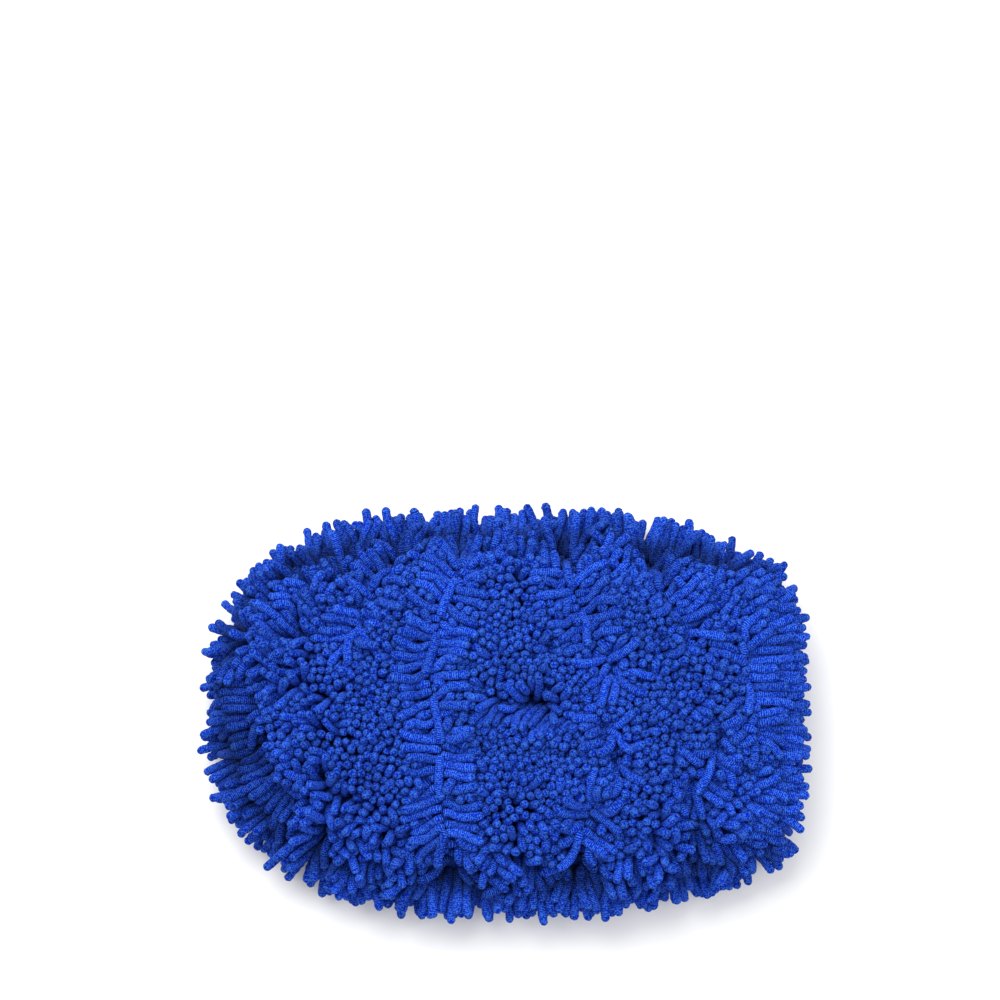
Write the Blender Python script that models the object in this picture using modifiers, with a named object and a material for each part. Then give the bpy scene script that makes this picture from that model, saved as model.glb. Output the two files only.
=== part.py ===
"""Chenille wash mitt, lying on its back panel with its toe at -X and its hand opening at +X.

It is a sewn pouch: two tufted panels with their pile, a lining bag inside, an elastic cuff and a hanging loop.
The origin is on the surface that the mitt lies on, under the middle of the mitt.
"""

import math

import bmesh
import bpy

# Driving dimensions, in metres.
TIP_HALF_LENGTH = 0.130  # over the tips of the noodles
TIP_HALF_WIDTH = 0.090
TIP_POWER = 2.5  # superellipse exponent of the outline of the tips
TOE_REACH = 0.108  # the sewn pouch, from its middle to the toe seam
MOUTH_REACH = 0.142  # the curve of the pouch towards the mouth, which the mouth cuts off
POUCH_HALF_WIDTH = 0.069
POUCH_POWER = 2.4
MOUTH_X = 0.108  # where the panels and the lining end
SEAM_Z = 0.0215  # height of the seam between the two panels
FRONT_RISE = 0.0130  # how far the front panel bows up from the seam
BACK_RISE = 0.0085
PANEL_THICKNESS = 0.0012
LINING_THICKNESS = 0.0006
LINING_SHARE = 0.93  # size of the lining bag in the pouch
FRONT_TOP = 0.0560  # highest noodle tips
RIM_TOP = 0.0285  # upper edge of the fringe
CUFF_START = 0.1095
CUFF_END = 0.1200
CUFF_HALF_WIDTH = 0.0430  # the hole in the cuff
CUFF_HALF_HEIGHT = 0.0042
KNIT_THICKNESS = 0.0008
ELASTIC_THICKNESS = 0.0010
ELASTIC_WIDTH = 0.0065
TAPE_WIDTH = 0.0064
TAPE_THICKNESS = 0.0009
LOOP_LENGTH = 0.034
THREAD_RADIUS = 0.0003
LABEL_START = 0.068
LABEL_LENGTH = 0.022
LABEL_WIDTH = 0.016
LABEL_THICKNESS = 0.0003
CLEARANCE = 0.0003
SOFT_CLEARANCE = 0.0009  # between a panel and its pile

# Sizes that follow from them.
SEAM_GAP = 0.0007  # each panel's inner face above or below the seam
LINING_GAP = 0.00035
LINING_DROP = 0.0010  # how much less the lining bows than its panel
PILE_BASE = SEAM_GAP + PANEL_THICKNESS + SOFT_CLEARANCE
EDGE_BAND = 0.045  # share of the pouch's reach over which the pile closes round the seam
TOE_CLEARANCE = math.radians(9.0)  # wedge that lets the front half tip up about the toe seam
CUFF_Z = SEAM_Z + 0.0013
CUFF_WALL = 2 * (KNIT_THICKNESS + CLEARANCE) + ELASTIC_THICKNESS
SEGMENTS = 48
LAYER_RINGS = (0, 0.35, 0.62, 0.82, 0.94, 1)
PILE_RINGS = (0, 0.35, 0.62, 0.82, 0.94, 1, 1.16, 1.6, 1.88, 2)
LOOP_ROOT = (CUFF_END + 0.0035, -0.042)
LOOP_ROOT_RADIUS = 0.0011
LOOP_END_RADIUS = 0.0024

CHENILLE = ("chenille", (0.012, 0.085, 0.60), 0.95)
GROUND_KNIT = ("ground_knit", (0.010, 0.060, 0.42), 0.95)
LINING = ("lining_knit", (0.020, 0.065, 0.30), 0.85)
RIB_KNIT = ("rib_knit", (0.012, 0.070, 0.48), 0.90)
ELASTIC = ("elastic", (0.72, 0.72, 0.70), 0.70)
WEBBING = ("webbing", (0.010, 0.055, 0.40), 0.75)
THREAD = ("thread", (0.015, 0.090, 0.55), 0.60)
SATIN = ("label_satin", (0.80, 0.80, 0.79), 0.45)


def clear_scene():
    for old in list(bpy.data.objects):
        bpy.data.objects.remove(old)


def material(look):
    name, colour, roughness = look
    made = bpy.data.materials.get(name)
    if made is None:
        made = bpy.data.materials.new(name)
        made.use_nodes = True
        shader = made.node_tree.nodes["Principled BSDF"]
        shader.inputs["Base Color"].default_value = (*colour, 1)
        shader.inputs["Roughness"].default_value = roughness
        shader.inputs["Metallic"].default_value = 0
    return made


def add_part(name, data, look, pivot):
    """Adds a part whose mesh or curve is drawn in the mitt's own frame, and hangs it on a pivot."""
    part = bpy.data.objects.new(name, data)
    data.materials.append(material(look))
    parts.objects.link(part)
    part.parent = pivot
    part.location = -pivot.location
    return part


def add_pivot(name, place):
    pivot = bpy.data.objects.new(name, None)
    pivot.location = place
    parts.objects.link(pivot)
    return pivot


# Outlines and heights ------------------------------------------------------------------------------


def superellipse_radius(angle, half_length, half_width, power):
    across = abs(math.cos(angle) / half_length) ** power
    up = abs(math.sin(angle) / half_width) ** power
    return (across + up) ** (-1 / power)


def pouch_radius(angle, share=1.0):
    """From the middle of the pouch to its seam, or to the mouth, in one direction."""
    half_length = TOE_REACH if math.cos(angle) < 0 else MOUTH_REACH
    radius = share * superellipse_radius(angle, half_length, POUCH_HALF_WIDTH, POUCH_POWER)
    if math.cos(angle) > 0:
        radius = min(radius, MOUTH_X / math.cos(angle))
    return radius


def tip_radius(angle):
    return superellipse_radius(angle, TIP_HALF_LENGTH, TIP_HALF_WIDTH, TIP_POWER)


def pouch_share(x, y):
    """0 in the middle of the pouch and 1 on its seam. Past the mouth it stays as it is at the mouth."""
    half_length = TOE_REACH if x < 0 else MOUTH_REACH
    along = abs(min(x, MOUTH_X) / half_length) ** POUCH_POWER
    across = abs(y / POUCH_HALF_WIDTH) ** POUCH_POWER
    return (along + across) ** (1 / POUCH_POWER)


def tip_share(x, y):
    along = abs(x / TIP_HALF_LENGTH) ** TIP_POWER
    across = abs(y / TIP_HALF_WIDTH) ** TIP_POWER
    return (along + across) ** (1 / TIP_POWER)


def bow(share):
    """The pillow shape of a panel: 1 in the middle and 0 at the seam."""
    return 1 - min(share, 1) ** 4


def panel_face(rise, x, y):
    """Distance of a panel's inner face from the seam's plane."""
    return SEAM_GAP + rise * bow(pouch_share(x, y))


def lining_face(rise, x, y):
    return LINING_GAP + (rise - LINING_DROP) * bow(pouch_share(x, y) / LINING_SHARE)


def pile_face(rise, x, y):
    """Distance of the pile's inner side from the seam's plane. Past the seam the two piles close up."""
    share = pouch_share(x, y)
    past_seam = max(0, share - 1) / EDGE_BAND
    return max(CLEARANCE, PILE_BASE * (1 - past_seam)) + rise * bow(share)


def front_pile_bottom(x, y):
    toe_wedge = max(0, -TOE_REACH - x) * math.tan(TOE_CLEARANCE)
    return SEAM_Z + pile_face(FRONT_RISE, x, y) + toe_wedge


def front_pile_top(x, y):
    return RIM_TOP + (FRONT_TOP - RIM_TOP) * (1 - tip_share(x, y) ** 5)


def back_pile_bottom(x, y):
    """Flat on the ground, and lifted at the fringe."""
    return 0.010 if tip_share(x, y) > 0.99 else 0


# Soft layers ---------------------------------------------------------------------------------------


def layer(name, rings, reach, top, bottom, look, pivot):
    """A closed layer: a sphere whose rings are spread over the plan and set to two height functions."""
    count = len(rings) - 1
    shape = bmesh.new()
    bmesh.ops.create_uvsphere(shape, u_segments=SEGMENTS, v_segments=2 * count, radius=1)
    for vertex in shape.verts:
        polar = math.acos(max(-1, min(1, vertex.co.z)))
        step = round(polar / math.pi * 2 * count)
        angle = math.atan2(vertex.co.y, vertex.co.x)
        radius = reach(angle, rings[min(step, 2 * count - step)])
        x = radius * math.cos(angle)
        y = radius * math.sin(angle)
        if step < count:
            z = top(x, y)
        elif step > count:
            z = bottom(x, y)
        else:
            z = (top(x, y) + bottom(x, y)) / 2
        vertex.co = (x, y, z)
    mesh = bpy.data.meshes.new(name)
    shape.to_mesh(mesh)
    shape.free()
    mesh.shade_smooth()
    return add_part(name, mesh, look, pivot)


def pouch_reach(angle, ring):
    return ring * pouch_radius(angle)


def lining_reach(angle, ring):
    return ring * pouch_radius(angle, LINING_SHARE)


def pile_reach(angle, ring):
    """Rings up to 1 fill the pouch's outline, and rings from 1 to 2 lead on to the tips."""
    inner = pouch_radius(angle)
    return min(ring, 1) * inner + max(ring - 1, 0) * (tip_radius(angle) - inner)


def build_panel(name, rise, side, pivot):
    """A panel's ground knit. side is 1 for the front panel and -1 for the back one."""

    def inner(x, y):
        return SEAM_Z + side * panel_face(rise, x, y)

    def outer(x, y):
        return inner(x, y) + side * PANEL_THICKNESS

    faces = (outer, inner) if side > 0 else (inner, outer)
    return layer(name, LAYER_RINGS, pouch_reach, *faces, GROUND_KNIT, pivot)


def build_lining(name, rise, side, pivot):
    def inner(x, y):
        return SEAM_Z + side * lining_face(rise, x, y)

    def outer(x, y):
        return inner(x, y) + side * LINING_THICKNESS

    faces = (outer, inner) if side > 0 else (inner, outer)
    return layer(name, LAYER_RINGS, lining_reach, *faces, LINING, pivot)


def build_front_pile(pivot):
    return layer(
        "front_pile", PILE_RINGS, pile_reach, front_pile_top, front_pile_bottom, CHENILLE, pivot
    )


def build_back_pile(pivot):
    def top(x, y):
        return SEAM_Z - pile_face(BACK_RISE, x, y)

    return layer("back_pile", PILE_RINGS, pile_reach, top, back_pile_bottom, CHENILLE, pivot)


# Cuff ----------------------------------------------------------------------------------------------


def cuff_point(angle, offset, x):
    """A point on the flattened ring of the cuff, offset outwards from the hole's edge."""
    y = (CUFF_HALF_WIDTH + offset) * math.cos(angle)
    z = CUFF_Z + (CUFF_HALF_HEIGHT + offset) * math.sin(angle)
    return (x, y, z)


def cuff_ring(name, section, look, pivot):
    """A torus whose tube is set to a section of (x, offset) corners, carried round the cuff."""
    corners = len(section)
    bpy.ops.mesh.primitive_torus_add(
        major_segments=SEGMENTS, minor_segments=corners, major_radius=1, minor_radius=0.25
    )
    source = bpy.context.object
    mesh = source.data
    for vertex in mesh.vertices:
        around = math.atan2(vertex.co.y, vertex.co.x)
        out = math.hypot(vertex.co.x, vertex.co.y) - 1
        tube = math.atan2(vertex.co.z, out) % math.tau
        x, offset = section[-round(tube / math.tau * corners) % corners]
        vertex.co = cuff_point(around, offset, x)
    bpy.data.objects.remove(source)
    mesh.name = name
    return add_part(name, mesh, look, pivot)


def build_cuff(pivot):
    """Rib knit folded double over the elastic, open towards the pouch."""
    slot_low = KNIT_THICKNESS
    slot_high = CUFF_WALL - KNIT_THICKNESS
    slot_end = CUFF_END - 0.0014
    section = (
        (CUFF_END, CUFF_WALL * 0.75),
        (CUFF_END - 0.0008, CUFF_WALL),
        (CUFF_START, CUFF_WALL),
        (CUFF_START, slot_high),
        (slot_end, slot_high),
        (slot_end, slot_low),
        (CUFF_START, slot_low),
        (CUFF_START, 0),
        (CUFF_END - 0.0008, 0),
        (CUFF_END, CUFF_WALL * 0.25),
    )
    return cuff_ring("cuff_knit", section, RIB_KNIT, pivot)


def build_elastic(pivot):
    low = KNIT_THICKNESS + CLEARANCE
    high = low + ELASTIC_THICKNESS
    end = CUFF_START + 0.0020 + ELASTIC_WIDTH
    start = end - ELASTIC_WIDTH
    return cuff_ring(
        "cuff_elastic", ((end, high), (start, high), (start, low), (end, low)), ELASTIC, pivot
    )


# Threads -------------------------------------------------------------------------------------------


def thread(name, points, closed, pivot):
    curve = bpy.data.curves.new(name, "CURVE")
    curve.dimensions = "3D"
    curve.bevel_depth = THREAD_RADIUS
    curve.bevel_resolution = 1
    curve.use_fill_caps = not closed
    spline = curve.splines.new("POLY")
    spline.points.add(len(points) - 1)
    for knot, place in zip(spline.points, points):
        knot.co = (*place, 1)
    spline.use_cyclic_u = closed
    return add_part(name, curve, THREAD, pivot)


def seam_route(share, stitches, swing):
    """A zigzag round the closed sides and the toe of the pouch, at a share of its outline."""
    first = math.radians(33)
    route = []
    for number in range(stitches + 1):
        angle = first + (math.tau - 2 * first) * number / stitches
        radius = pouch_radius(angle, share) + swing * (-1) ** number
        route.append((radius * math.cos(angle), radius * math.sin(angle), SEAM_Z))
    return route


def build_seams(pivot):
    thread("shell_seam_thread", seam_route(0.985, 72, 0.0005), False, pivot)
    thread("lining_seam_thread", seam_route(0.945, 60, 0.0003), False, pivot)
    middle = (MOUTH_X + CUFF_START) / 2
    around = [
        cuff_point(math.tau * number / SEGMENTS, 0.0016 + 0.0005 * (-1) ** number, middle)
        for number in range(SEGMENTS)
    ]
    thread("cuff_join_thread", around, True, pivot)


def build_topstitch(pivot):
    """A zigzag stitch round the outside of the cuff, which holds its fold."""
    lift = CUFF_WALL + CLEARANCE + THREAD_RADIUS
    route = [
        cuff_point(math.tau * number / SEGMENTS, lift, CUFF_START + 0.0020 + 0.0009 * (-1) ** number)
        for number in range(SEGMENTS)
    ]
    return thread("cuff_topstitch", route, True, pivot)


# Care label ----------------------------------------------------------------------------------------


def lining_floor(x, y):
    """The inner face of the back lining, which the label is sewn to."""
    return SEAM_Z - lining_face(BACK_RISE, x, y)


def build_label(pivot):
    mesh = bpy.data.meshes.new("care_label")
    shape = bmesh.new()
    bmesh.ops.create_grid(shape, x_segments=6, y_segments=4, size=0.5)
    for vertex in shape.verts:
        x = LABEL_START + LABEL_LENGTH * (vertex.co.x + 0.5)
        y = LABEL_WIDTH * vertex.co.y
        vertex.co = (x, y, lining_floor(x, y) + 2 * CLEARANCE)
    shape.to_mesh(mesh)
    shape.free()
    label = add_part("care_label", mesh, SATIN, pivot)
    cloth = label.modifiers.new("thickness", "SOLIDIFY")
    cloth.thickness = LABEL_THICKNESS
    cloth.offset = 1


def build_label_stitch(pivot):
    """A stitch round the border of the label."""
    inset = 0.0015
    low, high = LABEL_START + inset, LABEL_START + LABEL_LENGTH - inset
    side = LABEL_WIDTH / 2 - inset
    corners = ((low, -side), (high, -side), (high, side), (low, side))
    steps = 5
    route = []
    for number, (x, y) in enumerate(corners):
        next_x, next_y = corners[(number + 1) % 4]
        for step in range(steps):
            along = step / steps
            place = (x + (next_x - x) * along, y + (next_y - y) * along)
            lift = 3 * CLEARANCE + LABEL_THICKNESS + THREAD_RADIUS
            route.append((*place, lining_floor(*place) + lift))
    thread("label_stitch", route, True, pivot)


# Hanging loop --------------------------------------------------------------------------------------


def loop_outline():
    """The tape's middle line: a small arc at the sewn end and a wide one at the far end."""
    root_x, root_y = LOOP_ROOT
    far_centre = root_y + LOOP_LENGTH - LOOP_END_RADIUS
    near_centre = root_y + LOOP_ROOT_RADIUS
    lean = math.asin((LOOP_END_RADIUS - LOOP_ROOT_RADIUS) / (far_centre - near_centre))
    outline = []
    for centre, radius, start, turn, steps in (
        (far_centre, LOOP_END_RADIUS, -lean, math.pi + 2 * lean, 10),
        (near_centre, LOOP_ROOT_RADIUS, math.pi + lean, math.pi - 2 * lean, 5),
    ):
        for step in range(steps + 1):
            angle = start + turn * step / steps
            outline.append(
                (root_x + radius * math.cos(angle), centre + radius * math.sin(angle), CUFF_Z)
            )
    return outline


def build_loop(pivot):
    curve = bpy.data.curves.new("hang_loop", "CURVE")
    curve.dimensions = "3D"
    curve.twist_mode = "Z_UP"
    curve.bevel_depth = TAPE_THICKNESS / 2
    curve.bevel_resolution = 0
    curve.extrude = (TAPE_WIDTH - TAPE_THICKNESS) / 2
    spline = curve.splines.new("POLY")
    outline = loop_outline()
    spline.points.add(len(outline) - 1)
    for knot, place in zip(spline.points, outline):
        knot.co = (*place, 1)
    spline.use_cyclic_u = True
    return add_part("hang_loop", curve, WEBBING, pivot)


def build_bartack(pivot):
    """The stitched block that ties the loop's root to the cuff's edge."""
    depth, width, height = 0.0018, 0.0030, TAPE_WIDTH * 0.8
    mesh = bpy.data.meshes.new("loop_bartack")
    shape = bmesh.new()
    bmesh.ops.create_cube(shape, size=1)
    for vertex in shape.verts:
        vertex.co.x = vertex.co.x * depth + CUFF_END + 0.0004 + depth / 2
        vertex.co.y = vertex.co.y * width + LOOP_ROOT[1] - width / 2 - 0.0010
        vertex.co.z = vertex.co.z * height + CUFF_Z
    shape.to_mesh(mesh)
    shape.free()
    part = add_part("loop_bartack", mesh, THREAD, pivot)
    edge = part.modifiers.new("rounded edges", "BEVEL")
    edge.width = 0.0004
    edge.segments = 2
    return part


def build_mitt():
    back_half = add_pivot("back_half", (0, 0, 0))
    front_half = add_pivot("front_half", (-TOE_REACH, 0, SEAM_Z))
    loop_pivot = add_pivot("loop_pivot", (LOOP_ROOT[0], LOOP_ROOT[1], CUFF_Z))

    build_front_pile(front_half)
    build_panel("front_panel", FRONT_RISE, 1, front_half)
    build_lining("front_lining", FRONT_RISE, 1, front_half)
    build_back_pile(back_half)
    build_panel("back_panel", BACK_RISE, -1, back_half)
    build_lining("back_lining", BACK_RISE, -1, back_half)
    build_seams(back_half)
    build_cuff(back_half)
    build_elastic(back_half)
    build_topstitch(back_half)
    build_label(back_half)
    build_label_stitch(back_half)
    build_bartack(back_half)
    build_loop(loop_pivot)


clear_scene()
parts = bpy.data.collections.new("wash_mitt")
bpy.context.scene.collection.children.link(parts)
build_mitt()
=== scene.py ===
"""The look of the chenille wash mitt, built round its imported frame.

Every noodle is a chain of beads that starts on the wrinkled ground cloth, is combed away from the folds and
the rim, and then settles under its weight against its neighbours. Tubes are drawn along the settled chains.
"""

import math

import bmesh
import bpy
import numpy as np
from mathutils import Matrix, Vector


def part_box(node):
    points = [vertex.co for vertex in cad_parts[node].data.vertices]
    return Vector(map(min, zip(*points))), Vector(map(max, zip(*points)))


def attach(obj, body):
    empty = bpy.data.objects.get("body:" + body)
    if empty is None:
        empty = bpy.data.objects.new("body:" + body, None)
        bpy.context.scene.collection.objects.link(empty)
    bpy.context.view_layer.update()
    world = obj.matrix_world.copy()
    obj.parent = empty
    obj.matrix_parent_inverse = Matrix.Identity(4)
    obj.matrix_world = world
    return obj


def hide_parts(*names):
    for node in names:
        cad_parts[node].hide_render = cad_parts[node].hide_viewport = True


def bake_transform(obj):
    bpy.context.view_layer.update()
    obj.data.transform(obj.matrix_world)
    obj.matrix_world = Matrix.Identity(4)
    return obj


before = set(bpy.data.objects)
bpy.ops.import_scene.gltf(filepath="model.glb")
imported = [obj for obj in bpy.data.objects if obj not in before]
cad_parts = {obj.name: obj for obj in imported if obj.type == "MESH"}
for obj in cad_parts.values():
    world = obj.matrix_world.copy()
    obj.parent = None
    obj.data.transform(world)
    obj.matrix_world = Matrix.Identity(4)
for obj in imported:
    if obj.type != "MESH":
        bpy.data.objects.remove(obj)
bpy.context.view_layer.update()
rng = np.random.default_rng(20260)

# Sizes in metres -----------------------------------------------------------------------------------

NOODLE_RADIUS = 0.00185
NOODLE_LENGTH = 0.0195
RUNG_LENGTH = 0.0150
ROW_GAP = 0.0040  # from noodle to noodle along a row
ROOT_SPACING = 0.0038
ROOT_LIMIT = 0.985  # share of the way to the seam that has roots
FOLD_CLEAR = 0.0034  # beside a fold the roots leave this much room for its rungs
BEADS = 10  # in each settling chain
RINGS = 20  # along each finished noodle
CAP_RINGS = 4
GRAVITY_STEP = 0.00005
CURL = 14.0  # half the usual curvature of a free noodle, per metre
SIDES = 10
CLOTH = 0.0012  # thickness of the ground cloth
LINING = 0.0006
ROOT_DEPTH = 0.0003  # the cloth lies this far behind the roots
PANEL_GAP = 0.0007  # half the gap between the panels at the seam, and the same for the lining
LINING_GAP = 0.00095
TWIST = 0.0011  # length of one turn of the sewing thread
SEAM_HALF = 0.0019  # from the seam up or down to the outer faces of the panels there
NEAR_MOUTH = 0.001  # no noodle is rooted closer to the mouth
RIM_START = 0.66  # share of the way to the seam at which the noodles start to fan out
LINING_SHARE = 0.93
NOODLES_PER_PIECE = 400
TAPE_THICKNESS = 0.0009
FLOOR_GAP = 0.00005
OPEN_HEIGHT = 0.0125  # above the cloth, where the pile gets the full light

panel_low, panel_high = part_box("front_panel")
back_low, back_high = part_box("back_panel")
cuff_low, cuff_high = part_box("cuff_knit")
loop_low, loop_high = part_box("hang_loop")
elastic_low, elastic_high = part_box("cuff_elastic")
label_low, label_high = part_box("care_label")
bartack_low, bartack_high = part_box("loop_bartack")
seam_low, seam_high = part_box("shell_seam_thread")

TOE = panel_low.x
MOUTH = panel_high.x
HALF_WIDTH = panel_high.y
SEAM_Z = (seam_low.z + seam_high.z) / 2
POUCH_POWER = 2.4  # superellipse exponent of the pouch's outline
TOE_POWERS = (3.1, 2.5)  # the same at the toe, on the +Y and the -Y side
MOUTH_REACH = 0.142  # where the outline would close if the mouth didn't cut it off
FRONT_RISE = 0.0095
BACK_RISE = back_high.z - back_low.z
CUFF_WALL = 0.0032
CUFF_CLEAR = 0.0022  # the middle lines of the noodles stay this far above and below the cuff
MOUTH_HALF_WIDTH = 0.0495
CUFF_Z = (cuff_low.z + cuff_high.z) / 2
CUFF_OUT = cuff_high.y
CUFF_UP = (cuff_high.z - cuff_low.z) / 2
CUFF_HOLE_OUT = CUFF_OUT - CUFF_WALL
CUFF_HOLE_UP = CUFF_UP - CUFF_WALL

# The wrinkles of the slack front cloth: the height of each fold, and points along it in plan, in millimetres.
FOLDS = (
    (0.0130, (
        (-16, 58), (-23, 42), (-25, 33), (-30, 15), (-27, 0), (-24, -14), (-25, -33), (-22, -57), (-18, -73)
    )),
    (0.0105, ((27, 68), (28, 55), (32, 44), (37, 29), (42, 23), (47, 13))),
    (0.0085, ((42, -7), (48, -14), (48, -24))),
    (0.0085, ((101, 22), (102, 3), (105, -10))),
    (0.0080, ((91, -13), (87, -22), (79, -32))),
    (0.0100, ((-100, 8), (-98, -8), (-94, -20), (-86, -34))),
    (0.0095, ((-42, 62), (-48, 52), (-54, 40), (-60, 28))),
    (0.0090, ((60, 62), (66, 50), (71, 42), (76, 30))),
    (0.0085, ((38, -42), (31, -57), (33, -69))),
    (0.0080, ((-66, 61), (-76, 58))),
    (0.0080, ((76, 61), (85, 57))),
)
FOLD_REACH = 0.0090  # half the width of a fold
RUNG_EDGE = 0.93  # past this share of the way to the seam the noodles fan out over the rim
# a slanted step in the middle, with a ridge and a hollow under it, and a bare spot nearer the toe
STEP_START = (-0.0044, 0.0067)
STEP_LENGTH = 0.042
STEP_RISE = 0.0060
STEP_DROP = 0.0028
LOOSE_GAP = 0.026  # between noodles that lie along a fold
HOLE = (-0.074, -0.0055)
HOLE_REACH = 0.0021


# The cloth -----------------------------------------------------------------------------------------


def unit(vectors):
    return vectors / np.linalg.norm(vectors, axis=-1, keepdims=True)


def run_along(points):
    """Distance along a line of points, from its start to each of them."""
    return np.concatenate([[0], np.cumsum(np.linalg.norm(np.diff(points, axis=0), axis=1))])


def points_at(at, run, line):
    """The points of a line at the distances at, given the distances of its own points."""
    return np.stack([np.interp(at, run, line[:, k]) for k in range(line.shape[1])], -1)


def outline_power(x, y):
    return np.where(x < 0, np.where(y > 0, *TOE_POWERS), POUCH_POWER)


def pouch_share(x, y):
    """0 in the middle of the pouch and 1 on its seam. Past the mouth it stays as it is at the mouth."""
    half_length = np.where(x < 0, -TOE, MOUTH_REACH)
    power = outline_power(x, y)
    along = np.abs(np.minimum(x, MOUTH) / half_length) ** power
    across = np.abs(y / HALF_WIDTH) ** power
    return (along + across) ** (1 / power)


def outline_radius(angle):
    """From the middle of the pouch to its seam, or to where the seam would be past the mouth."""
    x, y = np.cos(angle), np.sin(angle)
    half_length = np.where(x < 0, -TOE, MOUTH_REACH)
    power = outline_power(x, y)
    return (np.abs(x / half_length) ** power + np.abs(y / HALF_WIDTH) ** power) ** (-1 / power)


def bow(share):
    return 1 - np.minimum(share, 1) ** 4


def fold_distances(x, y):
    """For each fold, the distance to it, the unit direction away from it and the one along it, in plan."""
    found = []
    point = np.stack([x, y], -1)
    for height, knots in FOLDS:
        best = np.full(x.shape, 9.0)
        away = np.zeros(x.shape + (2,))
        tangent = np.zeros(x.shape + (2,))
        for (ax, ay), (bx, by) in zip(knots[:-1], knots[1:]):
            a = np.array([ax, ay]) / 1000
            b = np.array([bx, by]) / 1000
            along = np.clip(((point - a) @ (b - a)) / ((b - a) @ (b - a)), 0, 1)
            off = point - (a + along[..., None] * (b - a))
            distance = np.linalg.norm(off, axis=-1)
            closer = distance < best
            best = np.where(closer, distance, best)
            away = np.where(closer[..., None], off / np.maximum(distance, 1e-6)[..., None], away)
            tangent = np.where(closer[..., None], (b - a) / np.linalg.norm(b - a), tangent)
        found.append((height, best, away, tangent))
    return found


def step_frame(x, y):
    """Plan coordinates along and above the slanted step in the middle of the front cloth."""
    turn = math.radians(-13.6)
    px, py = x - STEP_START[0], y - STEP_START[1]
    return px * math.cos(turn) + py * math.sin(turn), -px * math.sin(turn) + py * math.cos(turn)


def step_window(along):
    return np.clip((along + 0.006) / 0.006, 0, 1) * np.clip((STEP_LENGTH + 0.004 - along) / 0.008, 0, 1)


def overhang(x, y):
    """The step: a ridge just below the slanted line, and a hollow under the noodles that hang over it."""
    along, above = step_frame(x, y)
    ridge = STEP_RISE * np.exp(-(((above + 0.0045) / 0.0055) ** 2))
    hollow = STEP_DROP * np.exp(-(((above + 0.023) / 0.0060) ** 2))
    return step_window(along) * (ridge - hollow)


def smooth_cloth(x, y):
    """Height of the front panel's outer face without its folds."""
    return SEAM_Z + SEAM_HALF + FRONT_RISE * bow(pouch_share(x, y))


def front_cloth(x, y):
    """Height of the front panel's outer face, with its folds."""
    share = pouch_share(x, y)
    lift = np.zeros_like(x)
    for height, distance, _, _ in fold_distances(x, y):
        lift = np.maximum(lift, height * np.exp(-((distance / FOLD_REACH) ** 1.5)))
    lift = lift * np.clip((0.97 - share) / 0.17, 0, 1)
    return smooth_cloth(x, y) + lift + overhang(x, y)


def back_cloth(x, y):
    return SEAM_Z - SEAM_HALF - (BACK_RISE - 0.0012) * bow(pouch_share(x, y))


def openness(place):
    """How open a point of the pile is to the light: 0 at the smooth cloth and 1 from OPEN_HEIGHT off it."""
    x, y, z = place[..., 0], place[..., 1], place[..., 2]
    above = z - smooth_cloth(x, y)
    below = back_cloth(x, y) - z
    beyond = (pouch_share(x, y) - 1) * HALF_WIDTH
    return np.clip(np.maximum.reduce([above, below, beyond, x - MOUTH]) / OPEN_HEIGHT, 0, 1)


def slope_normal(height, x, y, side):
    """Unit normal of a cloth whose height is given, upwards for side 1 and downwards for side -1."""
    step = 0.0008
    dx = (height(x + step, y) - height(x - step, y)) / (2 * step)
    dy = (height(x, y + step) - height(x, y - step)) / (2 * step)
    return unit(np.stack([-dx * side, -dy * side, np.full_like(x, side)], -1))


def outward(x, y):
    """Plan direction away from the pouch, across its outline."""
    half_length = np.where(x < 0, -TOE, MOUTH_REACH)
    power = outline_power(x, y) - 1
    gx = np.sign(x) * np.abs(x / half_length) ** power / half_length
    gy = np.sign(y) * np.abs(y / HALF_WIDTH) ** power / HALF_WIDTH
    size = np.hypot(gx, gy) + 1e-9
    gx, gy = gx / size, gy / size
    # towards the mouth the noodles turn to +X
    turn = np.clip((x - (MOUTH - 0.030)) / 0.030, 0, 1) * np.clip(1.25 - np.abs(y) / 0.052, 0, 1)
    gx = gx * (1 - turn) + turn
    gy = gy * (1 - turn)
    size = np.hypot(gx, gy) + 1e-9
    return gx / size, gy / size


# Noodle roots --------------------------------------------------------------------------------------


def hex_roots(spacing, limit):
    """Places in plan on a jittered triangular grid, as far as pouch_share stays under limit."""
    rows = int(0.16 / (spacing * math.sqrt(0.75)))
    columns = int(0.25 / spacing)
    j, i = np.meshgrid(np.arange(-rows // 2, rows // 2 + 1), np.arange(-columns // 2, columns // 2 + 1))
    x = (i + 0.5 * (j % 2)) * spacing
    y = j * spacing * math.sqrt(0.75)
    x = x.ravel() - 0.002
    y = y.ravel()
    x = x + rng.normal(0, 0.16 * spacing, x.size)
    y = y + rng.normal(0, 0.16 * spacing, y.size)
    keep = (pouch_share(x, y) < limit) & (x < MOUTH - NEAR_MOUTH)
    return x[keep], y[keep]


def edge_share(x, y):
    """1 on the outline of the pouch or at the mouth's edge, falling inwards."""
    share = pouch_share(x, y)
    to_mouth = 1 - np.maximum(MOUTH - x, 0) / 0.069
    return np.maximum(share, to_mouth)


def soft_noise(x, y, size, amount):
    """A smooth random vector field over the plan, from a few random waves."""
    field = np.zeros((x.size, 3))
    for _ in range(14):
        turn = rng.uniform(0, math.tau)
        wave = math.tau / (size * rng.uniform(0.7, 1.6))
        phase = rng.uniform(0, math.tau)
        push = rng.normal(0, 1, 3)
        field += np.sin(wave * (x * math.cos(turn) + y * math.sin(turn)) + phase)[:, None] * push
    return field * amount / math.sqrt(7)


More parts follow.
